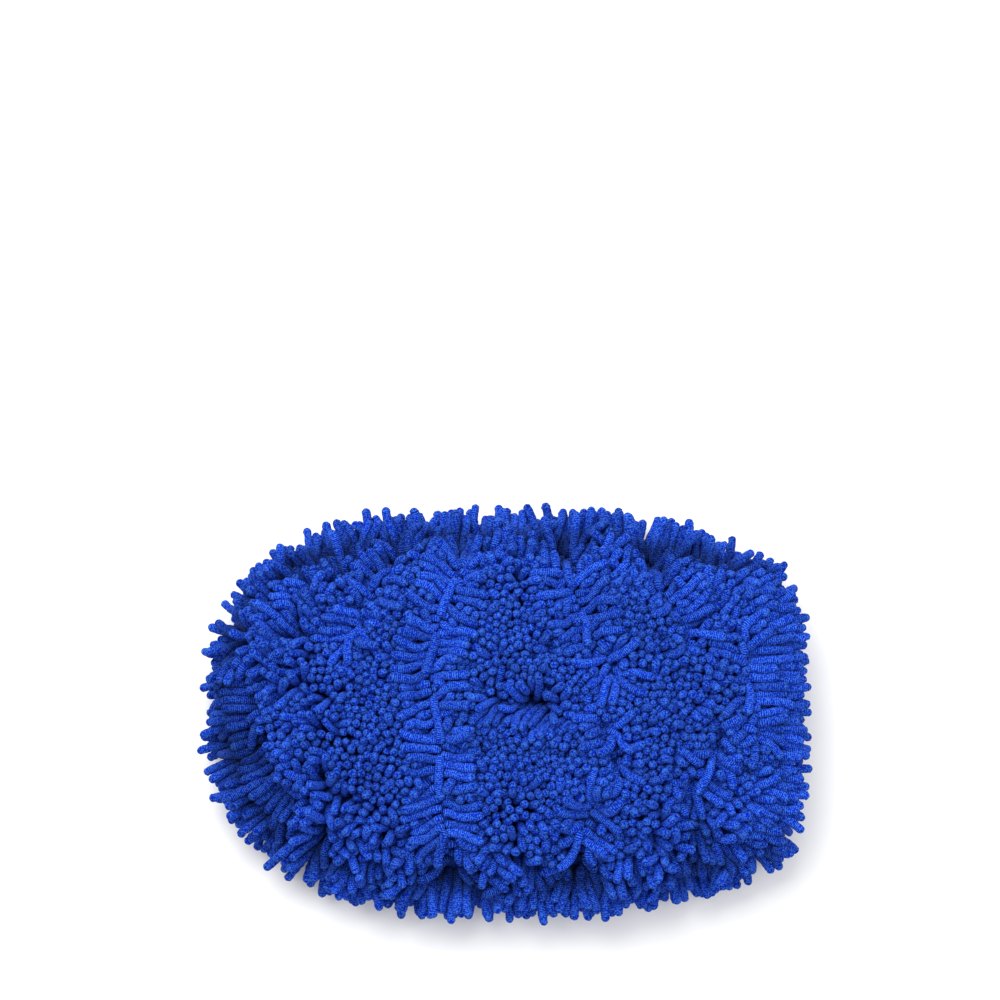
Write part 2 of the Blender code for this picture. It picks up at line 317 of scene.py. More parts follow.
def front_noodles():
    """Roots, directions, lengths and radii of the noodles that stand on the front panel."""
    x, y = hex_roots(ROOT_SPACING, ROOT_LIMIT)
    covered = np.hypot(x - HOLE[0], y - HOLE[1]) > HOLE_REACH
    # the rungs take the place of the roots nearest to a fold
    near_fold = np.min([distance for _, distance, _, _ in fold_distances(x, y)], axis=0) < FOLD_CLEAR
    covered &= ~(near_fold & (pouch_share(x, y) < RUNG_EDGE))
    x, y = x[covered], y[covered]
    root = np.stack([x, y, front_cloth(x, y)], -1)
    direction = slope_normal(front_cloth, x, y, 1) * 0.35 + slope_normal(smooth_cloth, x, y, 1)
    folds = fold_distances(x, y)
    nearest = np.min([distance for _, distance, _, _ in folds], axis=0)
    # beside a fold the noodles are combed away from it
    comb = np.zeros((x.size, 2))
    weight_sum = np.full(x.size, 1e-6)
    for _, distance, away, _ in folds:
        weight = np.exp(-distance / 0.006)
        strength = np.interp(distance, (0, 0.006, 0.012, 0.018, 0.026), (0.8, 0.7, 0.30, 0.10, 0.0))
        comb += away * (weight * strength)[:, None]
        weight_sum += weight
    comb /= weight_sum[:, None]
    # the noodles of the step hang down over the hollow, and those above it stand back
    step_x, step_y = step_frame(x, y)
    window = step_window(step_x)
    over = window * np.clip((0.001 - step_y) / 0.002, 0, 1) * np.clip((step_y + 0.022) / 0.006, 0, 1)
    comb = comb * (1 - over[:, None]) + np.array([-0.85, -0.90]) * over[:, None]
    back = window * np.clip(step_y / 0.001, 0, 1) * np.clip(1 - step_y / 0.006, 0, 1)
    comb += np.array([0.08, 0.45]) * back[:, None]
    # the noodles round the bare spot lean away from it
    from_hole = np.stack([x - HOLE[0], y - HOLE[1]], -1)
    hole_distance = np.linalg.norm(from_hole, axis=1, keepdims=True)
    comb += 0.25 * np.exp(-((hole_distance / 0.008) ** 2)) * from_hole / (hole_distance + 1e-6)
    # towards the rim they fan out
    edge = edge_share(x, y)
    ox, oy = outward(x, y)
    rim = np.clip((edge - RIM_START) / (1 - RIM_START), 0, 1) ** 1.35
    rim_tilt = np.minimum(np.tan(np.clip(rim, 0, 0.97) * math.radians(86)), 6)
    comb = comb * (1 - rim[:, None]) ** 0.5
    direction[:, 0] += comb[:, 0] * 1.2 + ox * rim_tilt
    direction[:, 1] += comb[:, 1] * 1.2 + oy * rim_tilt
    direction = unit(direction)
    loose = np.clip(nearest / 0.012, 0.4, 1)[:, None] + 0.9 * rim[:, None]
    direction += (soft_noise(x, y, 0.022, 0.16) + rng.normal(0, 0.10, direction.shape)) * loose
    direction = unit(direction)
    # far from the folds they stand close together, a little shorter and thinner
    squeezed = np.clip((nearest - 0.010) / 0.007, 0, 1) * (1 - np.clip((edge - 0.70) / 0.15, 0, 1))
    # under the rungs of a fold the noodles are pressed down
    under = np.interp(nearest, (0.004, 0.011, 0.015), (0.50, 0.70, 1.0))
    under = np.where(pouch_share(x, y) < RUNG_EDGE - 0.02, under, 1.0)
    length = NOODLE_LENGTH * rng.uniform(0.88, 1.10, x.size) * (1 - 0.12 * squeezed) * under
    radius = NOODLE_RADIUS * (1 - 0.10 * squeezed) * rng.uniform(0.95, 1.05, x.size)
    return root, direction, length, radius


def along_fold(knots, at):
    """Points and unit tangents at distances along a fold. Past its ends the fold runs on straight."""
    line = np.array(knots) / 1000
    run = run_along(line)
    span = 0.004
    spots = [points_at(at + shift, run, line) for shift in (0, -span, span)]
    tangent = spots[2] - spots[1]
    return spots[0], unit(tangent)


def fold_length(knots):
    return np.linalg.norm(np.diff(np.array(knots) / 1000, axis=0), axis=1).sum()


def rung_noodles():
    """The rows on both sides of each fold, which lie across it like rungs and fan out at its ends."""
    roots, ways = [], []
    for _, knots in FOLDS:
        total = fold_length(knots)
        for side in (-1, 1):
            at = np.arange(0.001 + 0.001 * side, total, ROW_GAP)
            at = at + rng.normal(0, 0.0003, at.size)
            spot, tangent = along_fold(knots, at)
            away = side * np.stack([-tangent[:, 1], tangent[:, 0]], -1)
            sway = 0.12 + rng.normal(0, 0.13, at.size)
            roots.append(spot + away * 0.0005)
            ways.append(away + tangent * sway[:, None])
        for end, heading in ((0.0, -1), (total, 1)):
            spot, tangent = along_fold(knots, np.array([end]))
            for turn in np.radians((-58, -20, 20, 58)):
                fan = turn + rng.normal(0, 0.10)
                ahead = heading * tangent[0]
                way = np.array([
                    ahead[0] * math.cos(fan) - ahead[1] * math.sin(fan),
                    ahead[0] * math.sin(fan) + ahead[1] * math.cos(fan),
                ])
                roots.append((spot[0] + way * 0.0012)[None])
                ways.append(way[None])
    plan = np.concatenate(roots)
    way = np.concatenate(ways)
    root = np.column_stack([plan, front_cloth(plan[:, 0], plan[:, 1])])
    direction = np.column_stack([way, rng.normal(0.30, 0.10, len(way))])
    direction = unit(direction)
    keep = (pouch_share(root[:, 0], root[:, 1]) < RUNG_EDGE + 0.01) & (root[:, 0] < MOUTH - NEAR_MOUTH)
    root, direction = root[keep], direction[keep]
    length = RUNG_LENGTH * rng.uniform(0.86, 1.12, len(root))
    return root, direction, length, NOODLE_RADIUS * rng.uniform(0.96, 1.06, len(root))


def loose_noodles():
    """A few noodles that have fallen along the crest of a fold."""
    roots, ways = [], []
    for _, knots in FOLDS:
        at = np.arange(0.008, fold_length(knots) - 0.004, LOOSE_GAP)
        at = at + rng.uniform(-0.004, 0.004, at.size)
        spot, tangent = along_fold(knots, at)
        across = np.stack([-tangent[:, 1], tangent[:, 0]], -1)
        roots.append(spot)
        ways.append(tangent + across * rng.normal(0, 0.25, (at.size, 1)))
    plan = np.concatenate(roots)
    root = np.column_stack([plan, front_cloth(plan[:, 0], plan[:, 1]) + 0.0012])
    direction = np.column_stack([np.concatenate(ways), np.full(len(plan), 0.62)])
    direction = unit(direction)
    length = RUNG_LENGTH * rng.uniform(0.95, 1.25, len(root))
    return root, direction, length, NOODLE_RADIUS * rng.uniform(0.97, 1.05, len(root))


def mouth_noodles():
    """The last row of each panel, at the edge of the mouth."""
    rows = []
    half = 0.050
    for height, rise in ((front_cloth, 0.12), (back_cloth, -0.10)):
        for setback, more in ((0.0012, 1.07), (0.0036, 1.06), (0.0060, 1.04)):
            y = np.arange(-half, half, ROW_GAP) + rng.normal(0, 0.0004, int(math.ceil(2 * half / ROW_GAP)))
            x = np.full(y.size, MOUTH - setback)
            root = np.stack([x, y, height(x, y)], -1)
            direction = np.stack([np.ones(y.size), y / 0.090, np.full(y.size, rise)], -1)
            direction += rng.normal(0, 0.11, direction.shape)
            direction = unit(direction)
            length = NOODLE_LENGTH * more * rng.uniform(0.95, 1.12, y.size)
            rows.append((root, direction, length, NOODLE_RADIUS * rng.uniform(0.95, 1.05, y.size)))
    front = tuple(np.concatenate(parts) for parts in zip(*rows[:3]))
    back = tuple(np.concatenate(parts) for parts in zip(*rows[3:]))
    return front, back


def back_noodles():
    """The noodles under the back panel, which the mitt's weight has pressed flat in all directions."""
    x, y = hex_roots(ROOT_SPACING * 1.17, ROOT_LIMIT)
    root = np.stack([x, y, back_cloth(x, y)], -1)
    edge = edge_share(x, y)
    ox, oy = outward(x, y)
    rim = np.clip((edge - RIM_START) / (1 - RIM_START), 0, 1)
    rim_tilt = np.minimum(np.tan(np.clip(rim, 0, 0.97) * math.radians(84)), 6)
    spin = rng.uniform(0, math.tau, x.size)
    direction = np.stack([np.cos(spin) * 1.1, np.sin(spin) * 1.1, np.full(x.size, -1.0)], -1)
    direction[:, 0] += ox * (rim_tilt + 0.6)
    direction[:, 1] += oy * (rim_tilt + 0.6)
    direction += rng.normal(0, 0.12, direction.shape)
    direction = unit(direction)
    length = NOODLE_LENGTH * np.where(rim > 0.3, 1.0, 0.85) * rng.uniform(0.90, 1.08, x.size)
    return root, direction, length, np.full(x.size, NOODLE_RADIUS * 0.97)


def rim_noodles():
    """The row in the seam itself, which stands out sideways."""
    angle = np.linspace(0, math.tau, 2000, endpoint=False)
    radius = outline_radius(angle)
    x, y = radius * np.cos(angle), radius * np.sin(angle)
    keep = x < MOUTH
    x, y = x[keep], y[keep]
    order = np.argsort(np.arctan2(y, -x))
    x, y = x[order], y[order]
    along = np.concatenate([[0], np.cumsum(np.hypot(np.diff(x), np.diff(y)))])
    count = int(along[-1] / ROW_GAP)
    at = np.linspace(0, along[-1], count)
    rows = []
    for lift, side in ((0.0022, 1), (-0.0022, -1)):
        px = np.interp(at + rng.normal(0, 0.0006, count), along, x)
        py = np.interp(at + rng.normal(0, 0.0006, count), along, y)
        ox, oy = outward(px, py)
        root = np.stack([px - ox * 0.001, py - oy * 0.001, np.full(count, SEAM_Z + lift)], -1)
        rise = 0.10 * side + rng.normal(0, 0.14, count)
        direction = np.stack([ox, oy, rise], -1) + rng.normal(0, 0.17, (count, 3))
        direction = unit(direction)
        length = NOODLE_LENGTH * rng.uniform(0.95, 1.14, count)
        rows.append((root, direction, length, NOODLE_RADIUS * rng.uniform(0.94, 1.05, count)))
    return rows


# Settling ------------------------------------------------------------------------------------------


def near_pairs(points, owner, reach):
    """Pairs of beads of different noodles that are closer than reach."""
    cell = np.floor(points / reach).astype(np.int64)
    cell -= cell.min(0)
    size = cell.max(0) + 3
    key = ((cell[:, 0] + 1) * size[1] + cell[:, 1] + 1) * size[2] + cell[:, 2] + 1
    order = np.argsort(key, kind="stable")
    sorted_key = key[order]
    first, second = [], []
    for dx, dy, dz in [
        (a, b, c)
        for a in (0, 1)
        for b in (-1, 0, 1)
        for c in (-1, 0, 1)
        if (a, b, c) >= (0, 0, 0)
    ]:
        other = key + (dx * size[1] + dy) * size[2] + dz
        start = np.searchsorted(sorted_key, other, "left")
        stop = np.searchsorted(sorted_key, other, "right")
        number = stop - start
        a = np.repeat(np.arange(len(points)), number)
        offset = np.arange(number.sum()) - np.repeat(np.cumsum(number) - number, number)
        b = order[np.repeat(start, number) + offset]
        if (dx, dy, dz) == (0, 0, 0):
            half = a < b
            a, b = a[half], b[half]
        first.append(a)
        second.append(b)
    a, b = np.concatenate(first), np.concatenate(second)
    apart = owner[a] != owner[b]
    a, b = a[apart], b[apart]
    close = np.einsum("ij,ij->i", points[a] - points[b], points[a] - points[b]) < reach * reach
    return a[close], b[close]


def settle(root, direction, length, thickness, front, steps):
    """Lets the chains of beads settle. front is 1 for the front panel's noodles and -1 for the back's."""
    count = len(root)
    segment = length / (BEADS - 1)
    share = np.arange(BEADS) / (BEADS - 1)
    chain = root[:, None] + direction[:, None] * (share[None, :, None] * length[:, None, None])
    owner = np.repeat(np.arange(count), BEADS)
    radius = np.repeat(thickness[:, None], BEADS, 1)
    # the first beads are smaller, so that the roots can stand closer than the tubes
    radius[:, :3] *= (0.4, 0.7, 0.9)
    flat_radius = radius.ravel()
    stay = chain[:, 1].copy()
    reach = 2 * NOODLE_RADIUS + 0.0009
    pairs = None
    upper = (front > 0)[:, None]
    curl = rng.normal(0, 1, (count, 3))
    curl -= direction * np.einsum("ij,ij->i", curl, direction)[:, None]
    curl = curl * (segment**2 * CURL)[:, None]
    for step in range(steps):
        chain[:, 2:, 2] -= GRAVITY_STEP
        if step % 5 == 0:
            flat = chain.reshape(-1, 3)
            pairs = near_pairs(flat, owner, reach)
        flat = chain.reshape(-1, 3)
        a, b = pairs
        gap = flat[a] - flat[b]
        distance = np.sqrt(np.einsum("ij,ij->i", gap, gap)) + 1e-9
        depth = (flat_radius[a] + flat_radius[b]) - distance
        hit = depth > 0
        a, b, gap, distance, depth = a[hit], b[hit], gap[hit], distance[hit], depth[hit]
        push = gap * (0.30 * depth / distance)[:, None]
        move = np.empty_like(flat)
        for axis in range(3):
            move[:, axis] = np.bincount(a, push[:, axis], len(flat))
            move[:, axis] -= np.bincount(b, push[:, axis], len(flat))
        size = np.linalg.norm(move, axis=1, keepdims=True)
        move *= np.minimum(1, 0.0006 / np.maximum(size, 1e-9))
        flat += move
        chain = flat.reshape(count, BEADS, 3)
        # bending: each inner bead is drawn towards the line through its neighbours
        middle = (chain[:, :-2] + chain[:, 2:]) / 2 + curl[:, None]
        bend = middle - chain[:, 1:-1]
        chain[:, 1:-1] += 0.42 * bend
        chain[:, 2:] -= 0.16 * bend
        chain[:, :-2] -= 0.16 * bend
        chain[:, 1] += 0.5 * (stay - chain[:, 1])
        chain[:, 0] = root
        # length of each segment, from the root outwards and back
        for _ in range(2):
            for bead in range(1, BEADS):
                off = chain[:, bead] - chain[:, bead - 1]
                now = np.linalg.norm(off, axis=1) + 1e-9
                fix = off * ((segment - now) / now)[:, None]
                if bead == 1:
                    chain[:, 1] += fix
                else:
                    chain[:, bead] += 0.6 * fix
                    chain[:, bead - 1] -= 0.4 * fix * (bead > 1)
            chain[:, 0] = root
        # the cloth, the ground and the mouth
        if step % 2 == 0:
            x, y, z = chain[:, 1:, 0], chain[:, 1:, 1], chain[:, 1:, 2]
            share_here = pouch_share(x, y)
            inside = (share_here < 1) & (x < MOUTH)
            roof = front_cloth(x, y) + 0.0010
            bed = back_cloth(x, y) - 0.0010
            past = (x >= MOUTH) & (x < loop_high.x) & (np.abs(y) < MOUTH_HALF_WIDTH)
            roof = np.where(past, np.maximum(cuff_high.z + CUFF_CLEAR, loop_high.z + CUFF_CLEAR), roof)
            bed = np.where(past, cuff_low.z - CUFF_CLEAR, bed)
            held = inside | past
            z = np.where(upper & held & (z < roof), roof, z)
            z = np.where(~upper & held & (z > bed), bed, z)
            z = np.maximum(z, NOODLE_RADIUS * 0.92)
            chain[:, 1:, 2] = z
    return chain


def build_chains():
    """All noodles as settled chains, with the side that each belongs to and its radius."""
    sets = [front_noodles(), back_noodles(), *rim_noodles()]
    sets += [rung_noodles(), loose_noodles(), *mouth_noodles()]
    sides = [1, -1, 1, -1, 1, 1, 1, -1]
    root, direction, length, radius = (np.concatenate(parts) for parts in zip(*sets))
    front = np.concatenate([np.full(len(one[0]), side) for one, side in zip(sets, sides)])
    chain = settle(root, direction, length, radius, front, 200)
    return chain, front, radius


# Noodle tubes --------------------------------------------------------------------------------------


def catmull(chain, places):
    """Points along smooth curves through the beads. places run from 0 to 1."""
    count = chain.shape[1]
    before, after = 2 * chain[:, :1] - chain[:, 1:2], 2 * chain[:, -1:] - chain[:, -2:-1]
    padded = np.concatenate([before, chain, after], 1)
    at = places * (count - 1)
    low = np.minimum(at.astype(int), count - 2)
    t = (at - low)[None, :, None]
    p0, p1, p2, p3 = (padded[:, low + k] for k in range(4))
    return 0.5 * (
        2 * p1 + (p2 - p0) * t + (2 * p0 - 5 * p1 + 4 * p2 - p3) * t**2 + (3 * p1 - p0 - 3 * p2 + p3) * t**3
    )


def add_marks(mesh, marks):
    """Named values on a mesh's points, for the materials."""
    for label, values in marks.items():
        attribute = mesh.attributes.new(label, "FLOAT", "POINT")
        attribute.data.foreach_set("value", np.asarray(values, np.float32).ravel())


def tube_mesh(name, chain, thickness):
    """One mesh of round-ended tubes along the chains, with the values that the yarn's look reads."""
    count = len(chain)
    bulge = np.linspace(0, math.pi / 2, CAP_RINGS + 1)[1:]
    length = np.linalg.norm(np.diff(chain, axis=1), axis=2).sum(1)
    body = np.linspace(0, 1, RINGS)
    centre = catmull(chain, body)
    tangent = np.gradient(centre, axis=1)
    tangent /= np.linalg.norm(tangent, axis=2, keepdims=True) + 1e-12
    reach = thickness[:, None] * 0.95 * np.sin(bulge)[None]
    end = centre[:, -1:] + tangent[:, -1:] * reach[..., None]
    centre = np.concatenate([centre, end], 1)
    tangent = np.concatenate([tangent, np.repeat(tangent[:, -1:], CAP_RINGS, 1)], 1)
    total = centre.shape[1]
    # a frame carried along each noodle without twist
    side = np.empty_like(centre)
    guess = np.where(np.abs(tangent[:, 0, 2:3]) < 0.9, np.array([[0, 0, 1.0]]), np.array([[1.0, 0, 0]]))
    current = np.cross(tangent[:, 0], guess)
    for ring in range(total):
        current = current - tangent[:, ring] * np.einsum("ij,ij->i", current, tangent[:, ring])[:, None]
        current /= np.linalg.norm(current, axis=1, keepdims=True) + 1e-12
        side[:, ring] = current
    up = np.cross(tangent, side)
    profile = np.interp(body, (0, 0.1, 0.4, 0.9, 1), (0.90, 0.98, 1.0, 1.03, 1.0))
    profile = np.concatenate([profile, np.cos(bulge)])
    profile[-1] = 0.18
    knob = rng.normal(0, 0.045, (count, total))
    knob[:, 0] = 0
    radius = thickness[:, None] * profile[None] * (1 + knob)
    around = np.arange(SIDES) / SIDES * math.tau
    dent = rng.normal(0, 0.045, (count, total, SIDES))
    dent[:, -1] = 0
    r = radius[:, :, None] * (1 + dent)
    ring_points = (
        centre[:, :, None]
        + side[:, :, None] * (np.cos(around)[None, None, :, None] * r[..., None])
        + up[:, :, None] * (np.sin(around)[None, None, :, None] * r[..., None])
    )
    vertices = ring_points.reshape(-1, 3)
    vertices[:, 2] = np.maximum(vertices[:, 2], FLOOR_GAP)
    first = (np.arange(count) * total * SIDES)[:, None]
    ring = np.arange(total - 1)[:, None] * SIDES
    turn = np.arange(SIDES)[None]
    nxt = (turn + 1) % SIDES
    quad = np.stack([ring + turn, ring + nxt, ring + SIDES + nxt, ring + SIDES + turn], -1).reshape(-1, 4)
    quads = (quad[None] + first[..., None]).reshape(-1, 4)
    cap = turn + (total - 1) * SIDES + first
    base = turn[:, ::-1] + first
    mesh = bpy.data.meshes.new(name)
    mesh.vertices.add(len(vertices))
    mesh.vertices.foreach_set("co", vertices.astype(np.float32).ravel())
    loops = np.concatenate([quads.ravel(), cap.ravel(), base.ravel()])
    mesh.loops.add(len(loops))
    mesh.loops.foreach_set("vertex_index", loops.astype(np.int32))
    starts = np.concatenate([np.arange(len(quads)) * 4, len(quads) * 4 + np.arange(2 * count) * SIDES])
    mesh.polygons.add(len(starts))
    mesh.polygons.foreach_set("loop_start", starts.astype(np.int32))
    mesh.polygons.foreach_set("use_smooth", np.ones(len(starts), bool))
    mesh.update(calc_edges=True)
    # millimetres along the noodle, a number of its own, the light that gets there, and if it is the tip
    along = np.minimum(np.linspace(0, (total - 1) / (RINGS - 1), total), 1)[None] * length[:, None] * 1000
    marks = {
        "along": along[:, :, None],
        "seed": rng.uniform(0, 1, (count, 1, 1)),
        "light": openness(centre)[:, :, None],
        "cap": (np.arange(total) >= RINGS)[None, :, None],
    }
    add_marks(mesh, {label: values * np.ones((count, total, SIDES)) for label, values in marks.items()})
    return mesh


# Sheets, rings and threads -------------------------------------------------------------------------


def new_piece(name, mesh, material, slot, *replaced):
    """Puts a mesh in the scene as a piece, in place of the CAD nodes that it stands for. slot is not used."""
    mesh.materials.append(material)
    piece = bpy.data.objects.new(name, mesh)
    bpy.context.scene.collection.objects.link(piece)
    if replaced:
        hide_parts(*replaced)
    return piece


def open_with_mouth(piece):
    """Bakes the piece's transform into its mesh."""
    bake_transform(piece)


def ring_mesh(name, bodies, marks):
    """One mesh of closed bodies, each given as rows of rings of points, with named values on the points."""
    vertices, faces, offset = [], [], 0
    for points in bodies:
        rows, around = points.shape[:2]
        index = np.arange(rows * around).reshape(rows, around) + offset
        nxt = np.roll(index, -1, axis=1)
        faces += np.stack([index[:-1], nxt[:-1], nxt[1:], index[1:]], -1).reshape(-1, 4).tolist()
        faces += [index[0][::-1].tolist(), index[-1].tolist()]
        vertices.append(points.reshape(-1, 3))
        offset += rows * around
    mesh = bpy.data.meshes.new(name)
    mesh.from_pydata(np.concatenate(vertices).tolist(), [], faces)
    mesh.shade_smooth()
    add_marks(mesh, marks)
    shape = bmesh.new()
    shape.from_mesh(mesh)
    bmesh.ops.recalc_face_normals(shape, faces=shape.faces)
    shape.to_mesh(mesh)
    shape.free()
    return mesh


def plan_half_width(x, side, limit):
    """From the middle line to where pouch_share is limit, on the side where y has the sign of side."""
    half_length = np.where(x < 0, -TOE, MOUTH_REACH)
    power = outline_power(x, side)
    rest = limit**power - np.abs(x / half_length) ** power
    return HALF_WIDTH * np.maximum(rest, 1e-5) ** (1 / power)


def sheet_mesh(name, outer, inner, limit, side):
    """A closed sheet over one half of the pouch's plan (side 1 or -1) or all of it (side 0)."""
    t = np.linspace(0, 1, 150)
    x = TOE * limit * 0.997 + (MOUTH - TOE * limit * 0.997) * (1 - np.cos(t * math.pi / 2))
    span = 1 - (1 - np.linspace(0, 1, 44)) ** 1.3
    across = np.concatenate([-span[:0:-1], span]) if side == 0 else span * side
    x = x[:, None] * np.ones((1, across.size))
    across = across[None] * np.ones_like(x)
    y = plan_half_width(x, np.sign(across + 1e-9 * side), limit) * across
    top = np.stack([x, y, outer(x, y)], -1)
    under = np.stack([x, y, inner(x, y)], -1)
    return ring_mesh(name, [np.concatenate([top, under[:, ::-1]], 1)], {})


def crumple(x, y, size, amount, seed):
    """Soft wrinkles of loose cloth, as a sum of a few waves."""
    waves = np.random.default_rng(seed)
    field = np.zeros_like(x)
    for _ in range(9):
        turn = waves.uniform(0, math.tau)
        wave = math.tau / (size * waves.uniform(0.6, 1.7))
        field += np.sin(wave * (x * math.cos(turn) + y * math.sin(turn)) + waves.uniform(0, math.tau))
    return field * amount / 3


def front_inner(x, y):
    return np.maximum(front_cloth(x, y) - ROOT_DEPTH - CLOTH, SEAM_Z + PANEL_GAP)


def front_lining_outer(x, y):
    slack = FRONT_RISE - 0.0010
    share = np.minimum(pouch_share(x, y) / LINING_SHARE, 1)
    return SEAM_Z + LINING_GAP + slack * bow(share) + crumple(x, y, 0.030, 0.0007, 5) * (1 - share**3)


def back_lining_outer(x, y):
    slack = BACK_RISE - 0.0022
    share = np.minimum(pouch_share(x, y) / LINING_SHARE, 1)
    return SEAM_Z - LINING_GAP - slack * bow(share) + crumple(x, y, 0.034, 0.0005, 8) * (1 - share**3)


def build_cloth():
    ground = knit_look("ground_knit", (0.0012, 0.010, 0.14), (0.006, 0.045, 0.33), 1.25, 1.0, 0.95)
    lining = knit_look("lining_knit", (0.004, 0.016, 0.10), (0.014, 0.055, 0.27), 0.72, 0.6, 0.8)

    def front_outer(x, y):
        return front_inner(x, y) + CLOTH

    def back_outer(x, y):
        return np.minimum(back_cloth(x, y) + ROOT_DEPTH, SEAM_Z - PANEL_GAP - CLOTH) + 0 * x

    def front_lining_inner(x, y):
        return front_lining_outer(x, y) - LINING

    for half, side in (("left", 1), ("right", -1)):
        mesh = sheet_mesh(f"front_panel_{half}", front_outer, front_inner, 1.0, side)
        open_with_mouth(new_piece(f"front_panel_{half}", mesh, ground, "ground_knit", "front_panel"))
        mesh = sheet_mesh(f"front_lining_{half}", front_lining_outer, front_lining_inner, LINING_SHARE, side)
        open_with_mouth(new_piece(f"front_lining_{half}", mesh, lining, "lining_knit", "front_lining"))
    mesh = sheet_mesh("back_panel_cloth", lambda x, y: back_outer(x, y) + CLOTH, back_outer, 1.0, 0)
    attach(new_piece("back_panel_cloth", mesh, ground, "ground_knit", "back_panel"), "back_half")
    mesh = sheet_mesh(
        "back_lining_cloth",
        lambda x, y: back_lining_outer(x, y) + LINING,
        back_lining_outer,
        LINING_SHARE,
        0,
    )
    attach(new_piece("back_lining_cloth", mesh, lining, "lining_knit", "back_lining"), "back_half")


def ellipse_arc(start, stop, pitch):
    """Angles round the cuff from start to stop, spread evenly by length, and the lengths themselves."""
    fine = np.linspace(start, stop, 4000)
    y = CUFF_OUT * np.cos(fine)
    z = CUFF_UP * np.sin(fine)
    run = np.concatenate([[0], np.cumsum(np.hypot(np.diff(y), np.diff(z)))])
    at = np.linspace(0, run[-1], max(8, int(round(run[-1] / pitch))) + 1)
    return np.interp(at, run, fine), at


def cuff_place(angle, offset, x):
    """Points on the flattened ring of the cuff, offset outwards from the hole's edge."""
    y = (CUFF_HOLE_OUT + offset) * np.cos(angle)
    z = CUFF_Z + (CUFF_HOLE_UP + offset) * np.sin(angle)
    return np.stack(np.broadcast_arrays(x, y, z), -1)


# the parts of the cuff, with the angles at which they start and stop
CUFF_PARTS = (
    ("lower", math.pi, math.tau),
    ("upper_left", 0.0, math.pi / 2),
    ("upper_right", math.pi / 2, math.pi),
)


def place_cuff_part(piece, part):
    """The lower side of the cuff stays with the back half, and the upper side has its transform baked into
    its mesh.
    """
    if part == "lower":
        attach(piece, "back_half")
    else:
        open_with_mouth(piece)


def swept_ring(name, node_name, section, pitch, bumps, material, slot):
    """Sweeps a closed section of (x, offset) corners round the cuff. bumps moves its points a little."""
    section = np.array(section)
    for part, start, stop in CUFF_PARTS:
        angle, at = ellipse_arc(start, stop, pitch)
        x = section[None, :, 0] + np.zeros((len(angle), 1))
        offset = section[None, :, 1] + np.zeros((len(angle), 1))
        ends = np.clip(np.minimum(at, at[-1] - at) / 0.0020, 0, 1)[:, None]
        dx, lift = bumps(x, offset, at[:, None])
        points = cuff_place(angle[:, None], offset + lift * ends, x + dx * ends)
        run = np.concatenate([[0], np.cumsum(np.hypot(*np.diff(section, axis=0).T))]) * 1000
        marks = {"along": at[:, None] * 1000 + 0 * x, "around": run[None] + 0 * x}
        mesh = ring_mesh(f"{name}_{part}", [points], marks)
        place_cuff_part(new_piece(f"{name}_{part}", mesh, material, slot, node_name), part)


def round_section(points, step):
    """The same closed section with its long sides divided, so that it can be shaped."""
    result = []
    for (ax, ay), (bx, by) in zip(points, points[1:] + points[:1]):
        count = max(1, int(math.hypot(bx - ax, by - ay) / step))
        result += [(ax + (bx - ax) * k / count, ay + (by - ay) * k / count) for k in range(count)]
    return result


def build_cuff():
    """The rib knit folded double at the end, with the elastic band in the fold."""
    wall = CUFF_WALL
    knit = 0.0008
    end = cuff_high.x
    turn = [
        (end - wall / 2 + wall / 2 * math.cos(a), wall / 2 + wall / 2 * math.sin(a))
        for a in np.linspace(math.pi / 2, -math.pi / 2, 9)
    ]
    inner_end = end - knit - 0.0006
    hollow = [(cuff_low.x, knit), (inner_end, knit), (inner_end, wall - knit), (cuff_low.x, wall - knit)]
    section = round_section([(cuff_low.x, wall)] + turn + [(cuff_low.x, 0.0)] + hollow, 0.0009)
    rib = knit_look("rib_knit", (0.002, 0.018, 0.20), (0.012, 0.085, 0.50), 0.0, 0.75, 0.9)

    def gathers(x, at):
        return 0.00028 * np.sin(at * math.tau / 0.0052) * np.clip((x - cuff_low.x) / 0.002, 0, 1)

    def ribs(x, offset, at):
        from_middle = offset - wall / 2
        outside = np.sign(from_middle) * np.clip(np.abs(from_middle) / (wall / 2 - knit) - 0.9, 0, 0.1) * 10
        lift = outside * 0.00016 * np.cos(at * math.tau / 0.00145)
        return 0 * x, lift + gathers(x, at) * (x > cuff_low.x)

    swept_ring("cuff_rib", "cuff_knit", section, 0.00024, ribs, rib, "rib_knit")
    low = knit + 0.0003
    high = low + 0.0010
    first, last = elastic_low.x, elastic_high.x
    band = round_section([(first, high), (last, high), (last, low), (first, low)], 0.0006)

    def cords(x, offset, at):
        outside = np.sign(offset - (low + high) / 2)
        cord = 0.00010 * np.abs(np.sin((x - first) / (last - first) * math.pi * 6))
        return 0 * x, gathers(x, at) + outside * cord - outside * 0.0001

    swept_ring("cuff_band", "cuff_elastic", band, 0.0005, cords, elastic_look(), "elastic")


